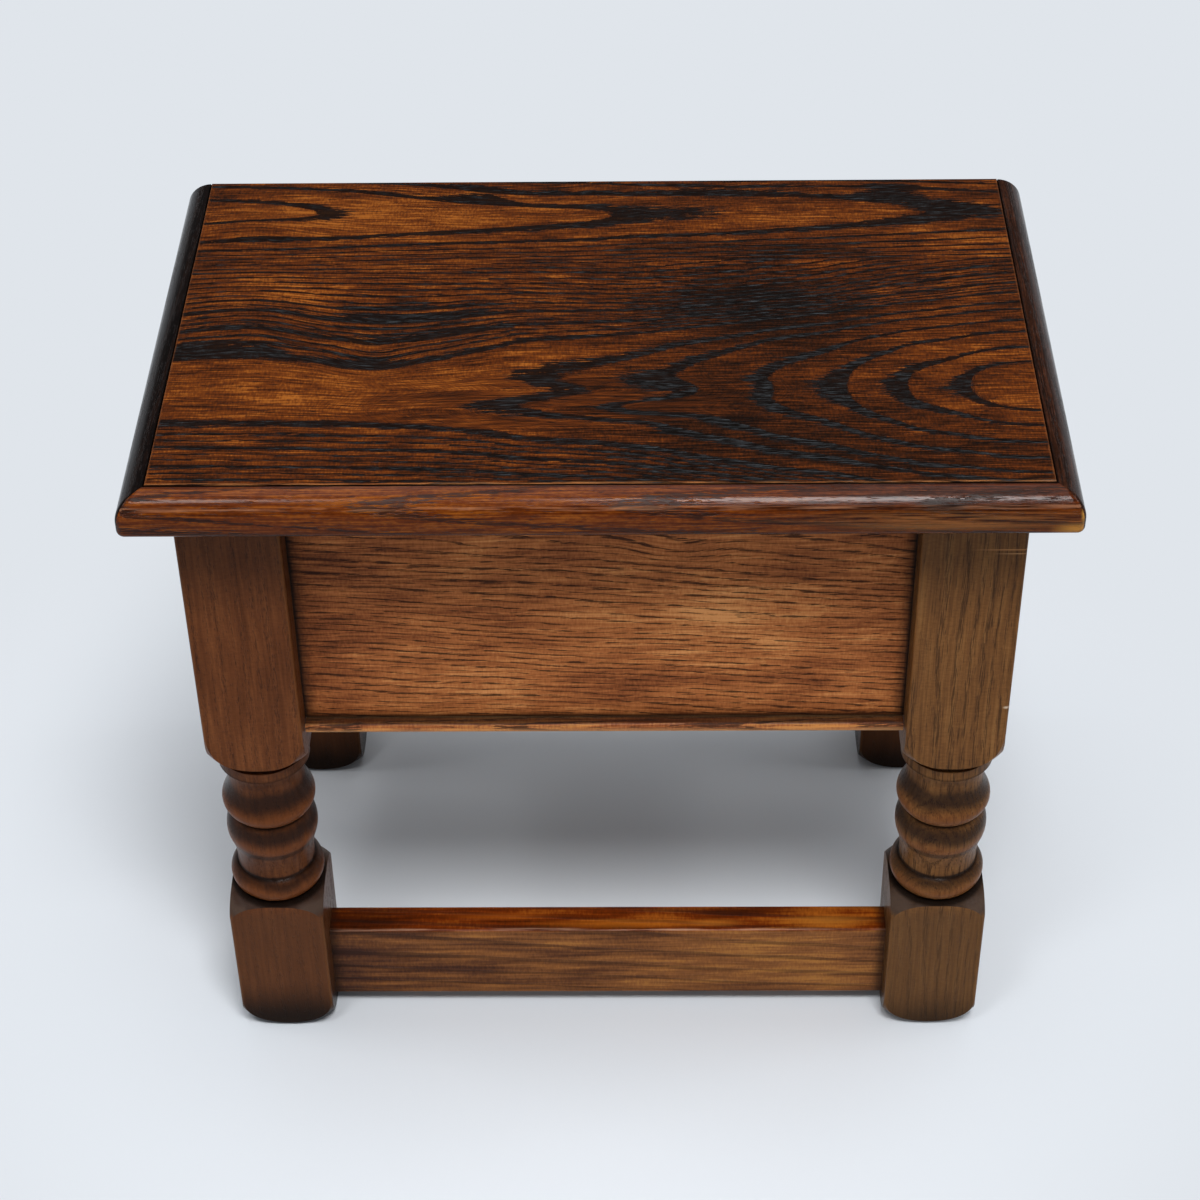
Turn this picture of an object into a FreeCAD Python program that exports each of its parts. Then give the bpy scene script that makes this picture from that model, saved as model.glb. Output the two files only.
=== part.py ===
import FreeCAD, Part
import math
import os

# Slipper box: an oak box stool on turned legs with a hinged lid. Millimetres.
# +X to the right, +Y to the back, +Z up. Origin on the floor under the middle of the whole box.

V = FreeCAD.Vector

# Overall sizes
base_width = 418.0            # across the outer faces of the posts
base_depth = 262.0            # over the front and back faces of the posts
leg_height = 382.0            # floor to the underside of the lid
lid_thickness = 22.0
side_overhang = 21.0          # lid edge beyond the posts' outer faces
front_overhang = 29.0         # lid edge in front of the posts

# Legs: square stock with a turned middle
leg_size = 52.0
leg_arris = 1.8               # eased edges of the square stock
turning_bite = 0.1            # the turned curves just cut into the eased edges
foot_round_height = 18.0      # turned rounding under the foot
foot_flat_radius = 17.0
lower_block_top = 98.5        # level of the shoulder above the lower block
lower_shoulder_drop = 12.5    # how far the shoulder falls to the corners of the block
lower_shoulder_radius = 21.0
upper_block_bottom = 201.0
upper_shoulder_rise = 22.0
upper_shoulder_radius = 23.0

# Turned members of the leg, as radius and level above the floor
fillet_radius = 24.6
fillet_top = 197.5
fillet_bottom = 191.0
neck_top_radius = 21.8        # the hollow neck meets the fillet
upper_bead_crest = 167.0      # the upper bead turns into the neck
upper_bead_crest_radius = 24.2
upper_bead_radius = 25.2
upper_bead_level = 161.0
bead_groove_radius = 20.4     # crease between the two beads
bead_groove_level = 154.2
lower_bead_radius = 24.9
lower_bead_level = 141.0
lower_bead_foot = 134.0       # the lower bead turns into the waist
lower_bead_foot_radius = 23.7
ring_top = 114.5              # the waist meets the ring
ring_top_radius = 21.4
ring_radius = 25.7
ring_level = 105.4

# Box boards, tongued into the posts
board_thickness = 20.0
board_inset = 16.0            # face of the front and side boards behind the face of the posts
box_bottom = 226.0            # lower edge of the boards
tongue_thickness = 8.0
tongue_length = 12.0
tongue_shoulder = 12.0        # tongue stops this far short of the board's edges
mortise_spare = 1.0           # spare depth past the end of a tongue or tenon
glue_line = 0.1               # room round tongues and tenons

# Bottom board under the boards, notched round the posts, with a nosed edge on three sides
bottom_thickness = 6.0
bottom_ledge = 7.0            # shows in front of the boards
bottom_nose = 2.6
nose_share = 0.45             # most of the board's thickness that its nosing may take
post_notch_gap = 0.5

# Front stretcher
stretcher_bottom = 9.0
stretcher_height = 52.0
stretcher_thickness = 19.0
stretcher_arris = 1.5
tenon_length = 16.0
tenon_thickness = 10.0
tenon_shoulder = 8.0

# Lid: two planks edged with a mitred moulding on the front and sides
back_plank_width = 80.0
moulding_width = 14.0
panel_proud = 0.5             # planks stand above the moulding
panel_arris = 0.7
quirk = 0.8                   # small bevel on the moulding beside the planks
slope_run = 10.9              # upper slope of the moulding, which starts level
slope_fall = 5.1
nose_round = 3.4              # radius under the nose
hip_round = 4.0               # eased corners where the mitres meet
lid_tongue_length = 6.0
lid_tongue_thickness = 6.0

# Butt hinges
hinge_length = 60.0
hinge_post_gap = 7.0          # from a post's inner face to the end of its hinge
leaf_width = 16.0             # from the pin's axis
leaf_thickness = 2.5
leaf_gap = 1.0                # between the closed leaves
pin_radius = 1.5
knuckle_wall = 1.5
knuckle_count = 5
knuckle_gap = 0.3             # end play between knuckles
pin_clearance = 0.05
pin_head_radius = 2.3
pin_head_height = 0.8
hinge_axis_inset = 1.0        # pin's axis in front of the posts' back faces
barrel_gap = 1.0              # lid's back edge to the barrel
barrel_clearance = 0.4

# Countersunk slotted screws
hinge_screw_length = 16.0
hinge_screw_pitch = 20.0
hinge_screw_setback = 10.0    # from the pin's axis
bottom_screw_length = 25.0
bottom_screw_margin = 40.0    # from a post's face to the first screw along a board
screw_radius = 1.7
screw_head_radius = 3.2
screw_point = 3.0
screw_slot_width = 0.8
screw_slot_depth = 0.9
screw_fit = 0.05

# Worked-out sizes and places
barrel_radius = pin_radius + knuckle_wall
hinge_proud = barrel_radius - hinge_axis_inset
overall_depth = front_overhang + base_depth + hinge_proud
lid_front = -overall_depth / 2
post_front = lid_front + front_overhang
post_back = post_front + base_depth
hinge_y = post_back - hinge_axis_inset
lid_back = hinge_y - barrel_radius - barrel_gap
lid_width = base_width + 2 * side_overhang
lid_underside = leg_height
lid_top = leg_height + lid_thickness
post_outer = base_width / 2
post_inner = post_outer - leg_size
leg_x = post_outer - leg_size / 2
hinge_x = post_inner - hinge_post_gap - hinge_length / 2
leg_y_front = post_front + leg_size / 2
leg_y_back = post_back - leg_size / 2
board_outer_x = post_outer - board_inset
board_mid_x = board_outer_x - board_thickness / 2
front_board_mid = post_front + board_inset + board_thickness / 2
back_board_mid = post_back - board_thickness / 2
bottom_level = box_bottom - bottom_thickness
panel_half = lid_width / 2 - moulding_width
panel_front = lid_front + moulding_width
plank_joint = lid_back - back_plank_width
slope_turn = 2 * math.atan2(slope_fall, slope_run)
# Height over which the slope turns down into the upright nose, with no break
nose_drop = (moulding_width - slope_run) * math.cos(slope_turn) / (1 - math.sin(slope_turn))
side_names = {-1: "left", 1: "right"}
up = V(0, 0, 1)
near = 1e-4                   # slack when edges are picked by their place


def box(x0, x1, y0, y1, z0, z1):
    return Part.makeBox(x1 - x0, y1 - y0, z1 - z0, V(x0, y0, z0))


def arc(a, mid, b):
    return Part.Arc(a, mid, b).toShape()


def line(a, b):
    return Part.LineSegment(a, b).toShape()


def edges_where(shape, test):
    return [e for e in shape.Edges if test(e)]


def runs_along(edge, axis):
    # True for a straight edge parallel to the axis
    if len(edge.Vertexes) != 2 or not isinstance(edge.Curve, Part.Line):
        return False
    step = edge.Vertexes[1].Point - edge.Vertexes[0].Point
    return abs(abs(step.dot(axis)) - step.Length) < near


def all_at(edge, axis, value):
    # True where both ends of the edge lie at the value along the axis
    return all(abs(v.Point.dot(axis) - value) < near for v in edge.Vertexes)


def tangent_arc(start, heading, end):
    # Arc that leaves the start along the heading and runs to the end
    chord = end - start
    bulge = heading - chord * (heading.dot(chord) / chord.dot(chord))
    bulge.normalize()
    rise = chord.Length / 2 * math.tan(heading.getAngle(chord) / 2)
    return arc(start, start + chord / 2 + bulge * rise, end)


def quarter_oval(corner, end):
    # Convex quarter oval from a block's corner, where it is upright, to the turning, where it is level
    centre = V(end.x, 0, corner.z)
    across, along = sorted((corner, end), key=lambda p: (p - centre).Length)
    oval = Part.Ellipse(along, across, centre)
    return Part.ArcOfEllipse(oval, 0, math.pi / 2).toShape()


def turned_envelope():
    # What the lathe leaves: clear of the square stock at the blocks, turned between them
    clear = leg_size * math.sqrt(0.5)
    corner = clear - leg_arris * (math.sqrt(2) - 1) - turning_bite
    foot_edge = V(foot_flat_radius, 0, 0)
    foot_corner = V(corner, 0, foot_round_height)
    low_corner = V(corner, 0, lower_block_top - lower_shoulder_drop)
    low_inner = V(lower_shoulder_radius, 0, lower_block_top)
    ring_upper = V(ring_top_radius, 0, ring_top)
    waist_top = V(lower_bead_foot_radius, 0, lower_bead_foot)
    groove = V(bead_groove_radius, 0, bead_groove_level)
    neck_foot = V(upper_bead_crest_radius, 0, upper_bead_crest)
    neck_top = V(neck_top_radius, 0, fillet_bottom)
    fillet_low = V(fillet_radius, 0, fillet_bottom)
    fillet_high = V(fillet_radius, 0, fillet_top)
    quirk_low = V(upper_shoulder_radius, 0, fillet_top)
    high_inner = V(upper_shoulder_radius, 0, upper_block_bottom)
    high_corner = V(corner, 0, upper_block_bottom + upper_shoulder_rise)
    head = V(clear, 0, leg_height)
    lower_bead = arc(waist_top, V(lower_bead_radius, 0, lower_bead_level), groove)
    upper_bead = arc(groove, V(upper_bead_radius, 0, upper_bead_level), neck_foot)
    waist_heading = -lower_bead.tangentAt(lower_bead.FirstParameter)
    neck_heading = upper_bead.tangentAt(upper_bead.LastParameter)
    path = [
        line(V(0, 0, 0), foot_edge),
        quarter_oval(foot_corner, foot_edge),
        line(foot_corner, V(clear, 0, foot_corner.z)),
        line(V(clear, 0, foot_corner.z), V(clear, 0, low_corner.z)),
        line(V(clear, 0, low_corner.z), low_corner),
        quarter_oval(low_corner, low_inner),
        arc(low_inner, V(ring_radius, 0, ring_level), ring_upper),
        tangent_arc(waist_top, waist_heading, ring_upper),
        lower_bead,
        upper_bead,
        tangent_arc(neck_foot, neck_heading, neck_top),
        line(neck_top, fillet_low),
        line(fillet_low, fillet_high),
        line(fillet_high, quirk_low),
        line(quirk_low, high_inner),
        quarter_oval(high_corner, high_inner),
        line(high_corner, V(clear, 0, high_corner.z)),
        line(V(clear, 0, high_corner.z), head),
        line(head, V(0, 0, leg_height)),
        line(V(0, 0, leg_height), V(0, 0, 0)),
    ]
    face = Part.Face(Part.Wire(path))
    return face.revolve(V(0, 0, 0), up, 360)


def leg_blank():
    half = leg_size / 2
    stock = box(-half, half, -half, half, 0, leg_height)
    uprights = edges_where(stock, lambda e: runs_along(e, up))
    stock = stock.makeFillet(leg_arris, uprights)
    return stock.common(turned_envelope())


def end_tongue(x_end, side, y_mid, thickness, length, z0, z1, grow=0.0, spare=0.0):
    # A tongue or its mortise, leaving the shoulder at x_end towards the side
    y0 = y_mid - thickness / 2 - grow
    y1 = y_mid + thickness / 2 + grow
    tip = x_end + side * (length + spare)
    x0, x1 = sorted((x_end, tip))
    return box(x0, x1, y0, y1, z0 - grow, z1 + grow)


def board_tongue(side, y_mid, grow=0.0, spare=0.0):
    z0 = box_bottom + tongue_shoulder
    z1 = leg_height - tongue_shoulder
    return end_tongue(side * post_inner, side, y_mid, tongue_thickness, tongue_length, z0, z1, grow, spare)


def side_board_tongue(side, end, grow=0.0, spare=0.0):
    # Tongue of a side board, running along Y into the front (end -1) or back (end 1) leg
    shoulder = post_front + leg_size if end < 0 else post_back - leg_size
    tip = shoulder + end * (tongue_length + spare)
    y0, y1 = sorted((shoulder, tip))
    x_mid = side * board_mid_x
    half = tongue_thickness / 2 + grow
    z0 = box_bottom + tongue_shoulder - grow
    z1 = leg_height - tongue_shoulder + grow
    return box(x_mid - half, x_mid + half, y0, y1, z0, z1)


def stretcher_tenon(side, grow=0.0, spare=0.0):
    z0 = stretcher_bottom + tenon_shoulder
    z1 = stretcher_bottom + stretcher_height - tenon_shoulder
    shoulder = side * post_inner
    return end_tongue(shoulder, side, leg_y_front, tenon_thickness, tenon_length, z0, z1, grow, spare)


def front_leg(side):
    leg = leg_blank()
    leg.translate(V(side * leg_x, leg_y_front, 0))
    cuts = [
        board_tongue(side, front_board_mid, glue_line, mortise_spare),
        side_board_tongue(side, -1, glue_line, mortise_spare),
        stretcher_tenon(side, glue_line, mortise_spare),
    ]
    return leg.cut(cuts)


def back_leg(side):
    leg = leg_blank()
    leg.translate(V(side * leg_x, leg_y_back, 0))
    cuts = [
        board_tongue(side, back_board_mid, glue_line, mortise_spare),
        side_board_tongue(side, 1, glue_line, mortise_spare),
    ]
    return leg.cut(cuts)


def cross_board(y_mid):
    y0 = y_mid - board_thickness / 2
    board = box(-post_inner, post_inner, y0, y0 + board_thickness, box_bottom, leg_height)
    return board.fuse([board_tongue(side, y_mid) for side in (-1, 1)]).removeSplitter()


def front_board():
    return cross_board(front_board_mid).cut(bottom_screw_holes())


def hinge_centres():
    return [-hinge_x, hinge_x]


def back_board():
    board = cross_board(back_board_mid)
    cuts = []
    head_room = pin_head_height + knuckle_gap
    for x in hinge_centres():
        half = hinge_length / 2
        floor = lid_underside - leaf_gap / 2 - leaf_thickness
        cuts.append(box(x - half, x + half, hinge_y - leaf_width, post_back, floor, lid_underside))
        cuts.append(barrel(x - half - head_room, hinge_length + 2 * head_room, barrel_clearance))
    return board.cut(cuts).cut(hinge_screw_holes(-1)).cut(bottom_screw_holes())


def side_board(side):
    x0, x1 = sorted((side * board_outer_x, side * (board_outer_x - board_thickness)))
    board = box(x0, x1, post_front + leg_size, post_back - leg_size, box_bottom, leg_height)
    board = board.fuse([side_board_tongue(side, end) for end in (-1, 1)]).removeSplitter()
    return board.cut(bottom_screw_holes())


def bottom_board():
    edge_x = board_outer_x + bottom_ledge
    edge_y = post_front + board_inset - bottom_ledge
    sheet = box(-edge_x, edge_x, edge_y, post_back, bottom_level, box_bottom)
    front_and_sides = edges_where(sheet, lambda e: not all_at(e, V(0, 1, 0), post_back))
    nosed = [e for e in front_and_sides if not runs_along(e, up)]
    sheet = sheet.makeFillet(min(bottom_nose, bottom_thickness * nose_share), nosed)
    notch = leg_size + post_notch_gap
    cuts = []
    for side in (-1, 1):
        inner = side * (post_outer - notch)
        outer = side * (post_outer + notch)
        x0, x1 = sorted((inner, outer))
        cuts.append(box(x0, x1, post_front - notch, post_front + notch, bottom_level, box_bottom))
        cuts.append(box(x0, x1, post_back - notch, post_back + notch, bottom_level, box_bottom))
    return sheet.cut(cuts).cut(bottom_screw_holes())


def front_stretcher():
    y0 = leg_y_front - stretcher_thickness / 2
    top = stretcher_bottom + stretcher_height
    rail = box(-post_inner, post_inner, y0, y0 + stretcher_thickness, stretcher_bottom, top)
    rail = rail.makeFillet(stretcher_arris, edges_where(rail, lambda e: runs_along(e, V(1, 0, 0))))
    return rail.fuse([stretcher_tenon(side) for side in (-1, 1)]).removeSplitter()


def moulding_edge(place):
    # Show side of the lid's moulding, from the planks' edge (u 0) outwards and down to the underside
    top = lid_top - panel_proud
    start = place(0, top)
    outwards = place(1, top) - start
    slope_low = place(slope_run, top - slope_fall)
    nose = place(moulding_width, top - slope_fall - nose_drop)
    return [
        tangent_arc(start, outwards, slope_low),
        tangent_arc(nose, up, slope_low),
        line(nose, place(moulding_width, lid_underside)),
    ]


def mitre_wedge(side):
    # Everything behind the mitre plane through the corner of the planks, on one side of the lid
    reach = lid_width
    corner = V(side * panel_half, panel_front, lid_underside - reach)
    points = [
        corner + V(side * reach, -reach, 0),
        corner + V(-side * reach, reach, 0),
        corner + V(side * reach, reach, 0),
    ]
    face = Part.Face(Part.makePolygon(points + [points[0]]))
    return face.extrude(V(0, 0, 3 * reach))


def lid_blank():
    # The lid in one piece, moulded on the front and sides, with its front hips and its nose eased
    half = lid_width / 2
    top = lid_top - panel_proud
    back_low = V(-half, lid_back, lid_underside)
    back_high = V(-half, lid_back, top)
    across = moulding_edge(lambda u, z: V(-half, panel_front - u, z))
    across += [
        line(V(-half, lid_front, lid_underside), back_low),
        line(back_low, back_high),
        line(back_high, V(-half, panel_front, top)),
    ]
    along = []
    for side in (-1, 1):
        along += moulding_edge(lambda u, z: V(side * (panel_half + u), lid_front, z))
    along += [
        line(V(-half, lid_front, lid_underside), V(half, lid_front, lid_underside)),
        line(V(-panel_half, lid_front, top), V(panel_half, lid_front, top)),
    ]
    ends = Part.Face(Part.Wire(Part.__sortEdges__(across))).extrude(V(lid_width, 0, 0))
    runs = Part.Face(Part.Wire(Part.__sortEdges__(along))).extrude(V(0, lid_back - lid_front, 0))
    blank = ends.common(runs)

    def is_hip(edge):
        # Edges that climb along a mitre plane
        points = [v.Point for v in edge.Vertexes]
        on_plane = all(abs(abs(p.x) - panel_half + p.y - panel_front) < near for p in points)
        return on_plane and abs(points[0].z - points[-1].z) > near

    blank = blank.makeFillet(hip_round, edges_where(blank, is_hip))
    low = edges_where(blank, lambda e: all_at(e, up, lid_underside))
    return blank.makeFillet(nose_round, [e for e in low if not all_at(e, V(0, 1, 0), lid_back)])


def lid_tongues(grow=0.0):
    # Tongues that run from the mouldings into the planks, or the grooves for them
    depth = lid_tongue_length + grow
    low = lid_underside + (lid_thickness - lid_tongue_thickness) / 2 - grow
    high = low + lid_tongue_thickness + 2 * grow
    runs = [box(-panel_half, panel_half, panel_front, panel_front + depth, low, high)]
    for side in (-1, 1):
        x0, x1 = sorted((side * panel_half, side * (panel_half - depth)))
        runs.append(box(x0, x1, panel_front, lid_back, low, high))
    return runs


def quirk_cutter():
    # Small bevel on the mouldings' inner arris, beside the planks
    top = lid_top - panel_proud
    reach = panel_half + quirk
    cutter = box(-reach, reach, panel_front - quirk, lid_back + quirk, top - quirk, top + quirk)
    low = edges_where(cutter, lambda e: all_at(e, up, top - quirk))
    beside_planks = [e for e in low if not all_at(e, V(0, 1, 0), lid_back + quirk)]
    return cutter.makeChamfer(quirk, beside_planks)


def moulding_frame():
    planks = box(-panel_half, panel_half, panel_front, lid_back, lid_underside, lid_top)
    frame = lid_blank().cut(planks).cut(quirk_cutter())
    return frame.fuse(lid_tongues()).removeSplitter()


def lid_mouldings():
    frame = moulding_frame()
    wedges = {side: mitre_wedge(side) for side in (-1, 1)}
    pieces = {"lid_front_moulding": frame.cut(list(wedges.values()))}
    for side, name in side_names.items():
        pieces["lid_" + name + "_moulding"] = frame.common(wedges[side])
    return pieces


def plank(y0, y1, edge_y):
    # One plank, with the arris of its show edges eased: both ends and the edge at edge_y
    board = box(-panel_half, panel_half, y0, y1, lid_underside, lid_top)

    def shows(edge):
        at_end = all_at(edge, V(1, 0, 0), panel_half) or all_at(edge, V(1, 0, 0), -panel_half)
        return all_at(edge, up, lid_top) and (at_end or all_at(edge, V(0, 1, 0), edge_y))

    board = board.makeFillet(panel_arris, edges_where(board, shows))
    return board.cut(lid_tongues(glue_line))


def front_plank():
    return plank(panel_front, plank_joint, panel_front)


def back_plank():
    board = plank(plank_joint, lid_back, lid_back)
    cuts = []
    for x in hinge_centres():
        half = hinge_length / 2
        ceiling = lid_underside + leaf_gap / 2 + leaf_thickness
        cuts.append(box(x - half, x + half, hinge_y - leaf_width, lid_back, lid_underside, ceiling))
    return board.cut(cuts).cut(hinge_screw_holes(1))


def barrel(x, length, grow=0.0):
    # A length of the hinge's barrel, or room for it, starting at x
    return Part.makeCylinder(barrel_radius + grow, length, V(x, hinge_y, lid_underside), V(1, 0, 0))


def hinge_leaf(x_mid, way):
    # The way is -1 for the leaf let into the back board and 1 for the leaf under the lid
    start = x_mid - hinge_length / 2
    pitch = hinge_length / knuckle_count
    face = lid_underside + way * leaf_gap / 2
    z0, z1 = sorted((face, face + way * leaf_thickness))
    leaf = box(start, start + hinge_length, hinge_y - leaf_width, hinge_y, z0, z1)
    own = [i for i in range(knuckle_count) if (i % 2 == 0) == (way < 0)]
    others = [i for i in range(knuckle_count) if i not in own]
    play = knuckle_gap / 2
    room = [barrel(start + i * pitch - play, pitch + knuckle_gap, barrel_clearance) for i in others]
    knuckles = [barrel(start + i * pitch + play, pitch - knuckle_gap) for i in own]
    leaf = leaf.cut(room).fuse(knuckles)
    axis = V(start, hinge_y, lid_underside)
    bore = Part.makeCylinder(pin_radius + pin_clearance, hinge_length, axis, V(1, 0, 0))
    return leaf.cut(bore).cut(hinge_screw_holes(way)).removeSplitter()


def hinge_pin(x_mid):
    start = x_mid - hinge_length / 2
    axis = V(1, 0, 0)
    pin = Part.makeCylinder(pin_radius, hinge_length, V(start, hinge_y, lid_underside), axis)
    heads = [
        Part.makeCylinder(pin_head_radius, pin_head_height, V(x, hinge_y, lid_underside), axis)
        for x in (start - pin_head_height, start + hinge_length)
    ]
    return pin.fuse(heads).removeSplitter()


def screw(length, grow=0.0):
    # Countersunk screw, point down, its head's face at the origin. Grown, it is the hole for one.
    head = screw_head_radius - screw_radius
    points = [
        V(0, 0, 0),
        V(screw_head_radius + grow, 0, 0),
        V(screw_radius + grow, 0, -head - grow),
        V(screw_radius + grow, 0, -length + screw_point),
        V(0, 0, -length - grow),
        V(0, 0, 0),
    ]
    solid = Part.Face(Part.makePolygon(points)).revolve(V(0, 0, 0), up, 360)
    if grow:
        return solid
    half = screw_slot_width / 2
    slot = box(-half, half, -screw_head_radius, screw_head_radius, -screw_slot_depth, screw_slot_depth)
    return solid.cut(slot)


def hinge_screws(way, grow=0.0):
    # Screws of both hinges: down into the back board (way -1) or up into the lid (way 1)
    face = lid_underside + way * leaf_gap / 2
    screws = []
    for x_mid in hinge_centres():
        for step in (-1, 0, 1):
            one = screw(hinge_screw_length, grow)
            if way > 0:
                one.rotate(V(0, 0, 0), V(1, 0, 0), 180)
            one.translate(V(x_mid + step * hinge_screw_pitch, hinge_y - hinge_screw_setback, face))
            screws.append(one)
    return screws


def hinge_screw_holes(way):
    return hinge_screws(way, screw_fit)


def bottom_screws(grow=0.0):
    # Screws up through the bottom board into the lower edges of the four boards
    cross_reach = post_inner - bottom_screw_margin
    side_reach = base_depth / 2 - leg_size - bottom_screw_margin
    middle = (post_front + post_back) / 2
    places = []
    for y in (front_board_mid, back_board_mid):
        places += [(step * cross_reach, y) for step in (-1, 0, 1)]
    for side in (-1, 1):
        places += [(side * board_mid_x, middle + step * side_reach) for step in (-1, 1)]
    screws = []
    for x, y in places:
        one = screw(bottom_screw_length, grow)
        one.rotate(V(0, 0, 0), V(1, 0, 0), 180)
        one.translate(V(x, y, bottom_level))
        screws.append(one)
    return screws


def bottom_screw_holes():
    return bottom_screws(screw_fit)


def make_parts():
    parts = {}
    for side, name in side_names.items():
        parts["front_" + name + "_leg"] = front_leg(side)
        parts["back_" + name + "_leg"] = back_leg(side)
        parts[name + "_board"] = side_board(side)
        x_mid = side * hinge_x
        parts[name + "_hinge_base_leaf"] = hinge_leaf(x_mid, -1)
        parts[name + "_hinge_lid_leaf"] = hinge_leaf(x_mid, 1)
        parts[name + "_hinge_pin"] = hinge_pin(x_mid)
    parts["front_board"] = front_board()
    parts["back_board"] = back_board()
    parts["bottom_board"] = bottom_board()
    parts["front_stretcher"] = front_stretcher()
    parts["lid_front_plank"] = front_plank()
    parts["lid_back_plank"] = back_plank()
    parts.update(lid_mouldings())
    parts["hinge_base_screws"] = Part.makeCompound(hinge_screws(-1))
    parts["hinge_lid_screws"] = Part.makeCompound(hinge_screws(1))
    parts["bottom_screws"] = Part.makeCompound(bottom_screws())
    return parts


os.makedirs("parts", exist_ok=True)
for node, shape in make_parts().items():
    shape.exportStep("parts/" + node + ".step")
    state = "valid" if shape.isValid() else "INVALID"
    print(node, len(shape.Solids), "solids", round(shape.Volume), "mm3", state)
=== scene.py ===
import math

import bmesh
import bpy
from mathutils import Matrix, Vector


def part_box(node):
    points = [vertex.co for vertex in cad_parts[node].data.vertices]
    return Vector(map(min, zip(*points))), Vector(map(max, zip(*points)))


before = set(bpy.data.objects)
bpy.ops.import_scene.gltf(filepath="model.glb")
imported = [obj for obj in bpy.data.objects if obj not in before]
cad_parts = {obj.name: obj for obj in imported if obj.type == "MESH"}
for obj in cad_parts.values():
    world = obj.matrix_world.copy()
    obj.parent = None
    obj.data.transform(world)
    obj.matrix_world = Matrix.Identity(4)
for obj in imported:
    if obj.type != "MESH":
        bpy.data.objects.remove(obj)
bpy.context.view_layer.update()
mm = 0.001
print("frame loaded:", len(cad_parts), "nodes")


# lowest and highest corner of a node, in mm
def corners(node):
    return [[value / mm for value in corner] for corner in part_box(node)]


# sRGB hex to a linear colour
def linear(hexColour):
    parts = [int(hexColour[i:i + 2], 16) / 255 for i in (0, 2, 4)]
    parts = [p / 12.92 if p <= 0.04045 else ((p + 0.055) / 1.055) ** 2.4 for p in parts]
    return (*parts, 1.0)


# adds a node, with sockets or plain values for its inputs, and gives back one of its outputs
def addNode(tree, kind, inputs=None, take=0, stops=None, blend="LINEAR", **settings):
    node = tree.nodes.new("ShaderNode" + kind)
    for name, value in settings.items():
        setattr(node, name, value)
    for name, value in (inputs or {}).items():
        if isinstance(value, bpy.types.NodeSocket):
            tree.links.new(value, node.inputs[name])
        else:
            node.inputs[name].default_value = value
    for i, (at, value) in enumerate(stops or []):
        node.color_ramp.interpolation = blend
        marks = node.color_ramp.elements
        mark = marks[i] if i < 2 else marks.new(at)
        mark.position = at
        mark.color = linear(value) if isinstance(value, str) else (value, value, value, 1.0)
    return node.outputs[take] if node.outputs else node


colourA, colourB, colourOut = 6, 7, 2   # sockets of a Mix node set to colour


def newTree(name):
    material = bpy.data.materials.new(name)
    material.use_nodes = True
    material.node_tree.nodes.clear()
    return material, material.node_tree


# soft round spot, 1 at its centre and 0 at its reach (mm)
def spotMask(tree, point, at, reach):
    near = addNode(tree, "Mapping", {"Vector": point, "Location": at, "Scale": reach}, vector_type="TEXTURE")
    near = addNode(tree, "TexGradient", {0: near}, take="Fac", gradient_type="SPHERICAL")
    return addNode(tree, "MapRange", {"Value": near}, interpolation_type="SMOOTHSTEP")


# what every oak piece starts from. Pores are drawn about three times their real width, so that they show
oakBasics = {
    "run": (0, 1, 2),                    # axes along, across and through the grain
    "sizes": {                           # mm along, across and through the grain
        "drift": (150, 45, 45),
        "cloud": (60, 18, 18),
        "streak": (38, 1.3, 1.3),
        "pore": (9, 0.75, 0.75),
        "fleck": (1.1, 3.5, 3.5),
    },
    "wander": 8,                         # mm that lines stray from straight
    "ragged": 1.0,                       # mm that a ring's edge strays
    "pith": {"across": 40, "through": 30},   # mm, where the tree's middle was
    "taper": 0.04,                       # mm of ring for each mm along
    "spacing": 4.0,                      # mm between rings
    "early": 0.45,                       # share of a ring that is open-pored
    "earlySpread": (0.4, 1.5),           # times that share, in the narrowest ring and the widest
    "earlyFade": (0.4, 1.1),             # where in that part the pores thin out
    "pull": 0.2,                         # how much denser the pores are there
    "pores": (0.6, 0.7),                 # noise levels where a pore begins and is full
    "poresInDark": 0.0,                  # how much denser they are where the ground is dark
    "ground": ("4e2a14", "6f4020", "8f5a30"),
    "cloudiness": 0.6,                   # share of broad clouds in the ground tone
    "fleckiness": 0.4,                   # share of short flecks in it
    "toneSpread": (0.3, 0.7),            # noise levels of the darkest and the lightest ground
    "grainColour": "22170f",
    "grainDepth": 0.85,
    "bare": ("6a4c2c", "8a6840", "aa8759"),
    "bareGrain": "4e3820",
    "speck": None,                       # colour of a painted grey sheen in wide pores
    "speckPores": (0.46, 0.7),           # noise levels where it begins and is full
    "speckGloom": (-0.15, 0.35),         # how dark the ground is there
    "speckLeast": 0.1,                   # share of it that is left where the ground is light
    "patches": (0.4, 0.6),               # noise levels where patchy wear begins and is full
    "eddies": [],                        # push the grain aside
    "swells": [],                        # widen the open-pored part of the rings
    "spots": [],                         # lighten or darken the ground
    "zones": [],                         # a colour, or bare wood, along one axis
    "marks": [],                         # a colour in one spot
    "arris": None,                       # rubbed edges of a square leg
    "roughness": (0.42, 0.62),           # between the pores and in them
    "specular": 0.1,
    "bump": 0.25,                        # mm, depth of the pores
    "bumpStrength": 0.5,
    "streakRelief": 0.25,                # height of the streaks, as a share of that depth
}


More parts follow.
